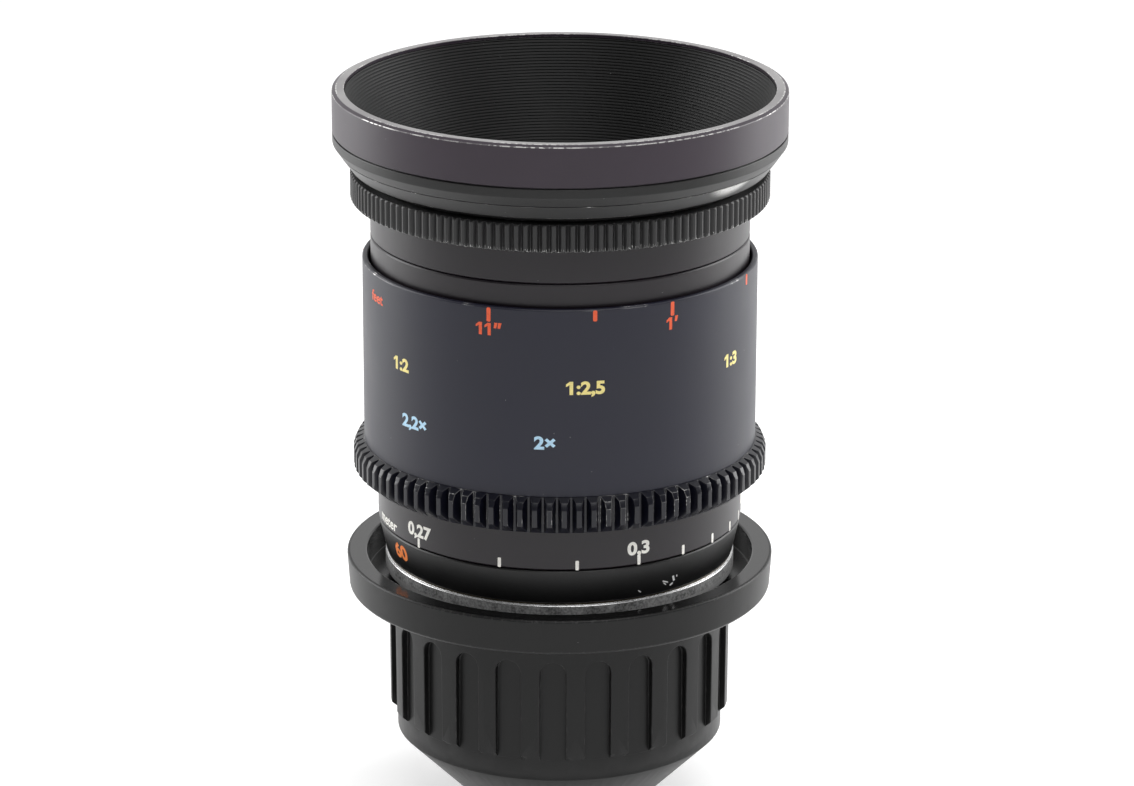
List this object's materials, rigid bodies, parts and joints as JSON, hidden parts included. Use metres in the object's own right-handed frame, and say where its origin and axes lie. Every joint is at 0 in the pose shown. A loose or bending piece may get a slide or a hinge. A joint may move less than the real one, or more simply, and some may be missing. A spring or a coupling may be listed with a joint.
{
  "type": "macro lens",
  "caption": "Macro cine lens standing on its ribbed rear cap: follow focus gear, long engraved focus sleeve, iris ring and wide hood with a ridged conical baffle.",
  "frame": {"origin": "centre of the foot of the rear cap, on the optical axis, where it stands", "axes": "+Z along the optical axis from the rear cap to the front; +X to the right and -Y towards the viewer as in the picture"},
  "size_m": [0.0954, 0.0954, 0.1594],
  "materials": {
    "cap_black": "satin moulded plastic, glossy in the well",
    "mount_steel": "turned steel",
    "screw_steel": "plain steel",
    "brass": "turned brass, greased threads",
    "barrel_black": "black anodised, fine satin",
    "sleeve_black": "black anodised, satin, engraved scale",
    "gear_black": "black anodised, edges worn bright",
    "iris_ring_black": "black anodised, milled ribs",
    "front_black": "black anodised, rim edge worn",
    "baffle_black": "matt black, ridged",
    "cell_black": "matt black",
    "glass": "coated optical glass",
    "blade_steel": "blackened spring steel"
  },
  "bodies": {
    "rear_cap": {"rear_cap": "cap_black"},
    "lens": {"lens_mount": "mount_steel", "mount_screws": "screw_steel", "focus_shim": "brass", "fixed_barrel": "barrel_black", "guide_keys": "brass", "key_screws": "screw_steel", "driver_retaining_ring": "brass"},
    "focus": {"focus_driver": "brass", "focus_sleeve": "sleeve_black", "focus_gear": "gear_black", "metre_scale_ring": "barrel_black", "gear_screws": "screw_steel"},
    "front": {"moving_barrel": "barrel_black", "upper_barrel": "barrel_black", "sliding_helicoid": "brass", "lens_head": "barrel_black", "head_screws": "screw_steel", "front_ring": "front_black", "hood": "front_black", "hood_baffle": "baffle_black", "front_cell": "cell_black", "front_retaining_ring": "cell_black", "front_element": "glass", "front_doublet_crown": "glass", "front_doublet_flint": "glass", "front_spacer": "cell_black", "iris_housing": "cell_black", "rear_cell": "cell_black", "rear_doublet_flint": "glass", "rear_doublet_crown": "glass", "rear_element": "glass", "rear_spacer": "cell_black", "rear_retaining_ring": "cell_black"},
    "iris": {"iris_ring": "iris_ring_black", "iris_arm": "blade_steel", "iris_screw": "screw_steel", "iris_cam_ring": "blade_steel", "cam_pin": "screw_steel"},
    "blade_1": {"iris_blade_1": "blade_steel"},
    "blade_2": {"iris_blade_2": "blade_steel"},
    "blade_3": {"iris_blade_3": "blade_steel"},
    "blade_4": {"iris_blade_4": "blade_steel"},
    "blade_5": {"iris_blade_5": "blade_steel"},
    "blade_6": {"iris_blade_6": "blade_steel"},
    "blade_7": {"iris_blade_7": "blade_steel"},
    "blade_8": {"iris_blade_8": "blade_steel"},
    "blade_9": {"iris_blade_9": "blade_steel"}
  },
  "joints": [
    {"name": "lens_lift", "type": "slide", "parent": "rear_cap", "child": "lens", "axis": [0, 0, 1], "range_m": [0, 0.07]},
    {"name": "focus_turn", "type": "hinge", "parent": "lens", "child": "focus", "pos_m": [0, 0, 0.08], "axis": [0, 0, 1], "range_deg": [-126, 189]},
    {"name": "focus_extension", "type": "slide", "parent": "lens", "child": "front", "axis": [0, 0, 1], "range_m": [-0.0121, 0.0181]},
    {"name": "iris_turn", "type": "hinge", "parent": "front", "child": "iris", "pos_m": [0, 0, 0.139], "axis": [0, 0, 1], "range_deg": [0, 56]},
    {"name": "blade_1_turn", "type": "hinge", "parent": "front", "child": "blade_1", "pos_m": [0.0182, 0, 0.0775], "axis": [0, 0, 1], "range_deg": [0, 29.4]},
    {"name": "blade_2_turn", "type": "hinge", "parent": "front", "child": "blade_2", "pos_m": [0.01394, 0.0117, 0.0778], "axis": [0, 0, 1], "range_deg": [0, 29.4]},
    {"name": "blade_3_turn", "type": "hinge", "parent": "front", "child": "blade_3", "pos_m": [0.00316, 0.01792, 0.0781], "axis": [0, 0, 1], "range_deg": [0, 29.4]},
    {"name": "blade_4_turn", "type": "hinge", "parent": "front", "child": "blade_4", "pos_m": [-0.0091, 0.01576, 0.0784], "axis": [0, 0, 1], "range_deg": [0, 29.4]},
    {"name": "blade_5_turn", "type": "hinge", "parent": "front", "child": "blade_5", "pos_m": [-0.0171, 0.00622, 0.0787], "axis": [0, 0, 1], "range_deg": [0, 29.4]},
    {"name": "blade_6_turn", "type": "hinge", "parent": "front", "child": "blade_6", "pos_m": [-0.0171, -0.00622, 0.079], "axis": [0, 0, 1], "range_deg": [0, 29.4]},
    {"name": "blade_7_turn", "type": "hinge", "parent": "front", "child": "blade_7", "pos_m": [-0.0091, -0.01576, 0.0793], "axis": [0, 0, 1], "range_deg": [0, 29.4]},
    {"name": "blade_8_turn", "type": "hinge", "parent": "front", "child": "blade_8", "pos_m": [0.00316, -0.01792, 0.0796], "axis": [0, 0, 1], "range_deg": [0, 29.4]},
    {"name": "blade_9_turn", "type": "hinge", "parent": "front", "child": "blade_9", "pos_m": [0.01394, -0.0117, 0.0799], "axis": [0, 0, 1], "range_deg": [0, 29.4]}
  ],
  "couplings": [
    {"joint": "focus_extension", "follows": "focus_turn", "m_per_rad": 0.0054464},
    {"joint": "blade_1_turn", "follows": "iris_turn", "ratio": 0.52286},
    {"joint": "blade_2_turn", "follows": "iris_turn", "ratio": 0.52286},
    {"joint": "blade_3_turn", "follows": "iris_turn", "ratio": 0.52286},
    {"joint": "blade_4_turn", "follows": "iris_turn", "ratio": 0.52286},
    {"joint": "blade_5_turn", "follows": "iris_turn", "ratio": 0.52286},
    {"joint": "blade_6_turn", "follows": "iris_turn", "ratio": 0.52286},
    {"joint": "blade_7_turn", "follows": "iris_turn", "ratio": 0.52286},
    {"joint": "blade_8_turn", "follows": "iris_turn", "ratio": 0.52286},
    {"joint": "blade_9_turn", "follows": "iris_turn", "ratio": 0.52286}
  ]
}
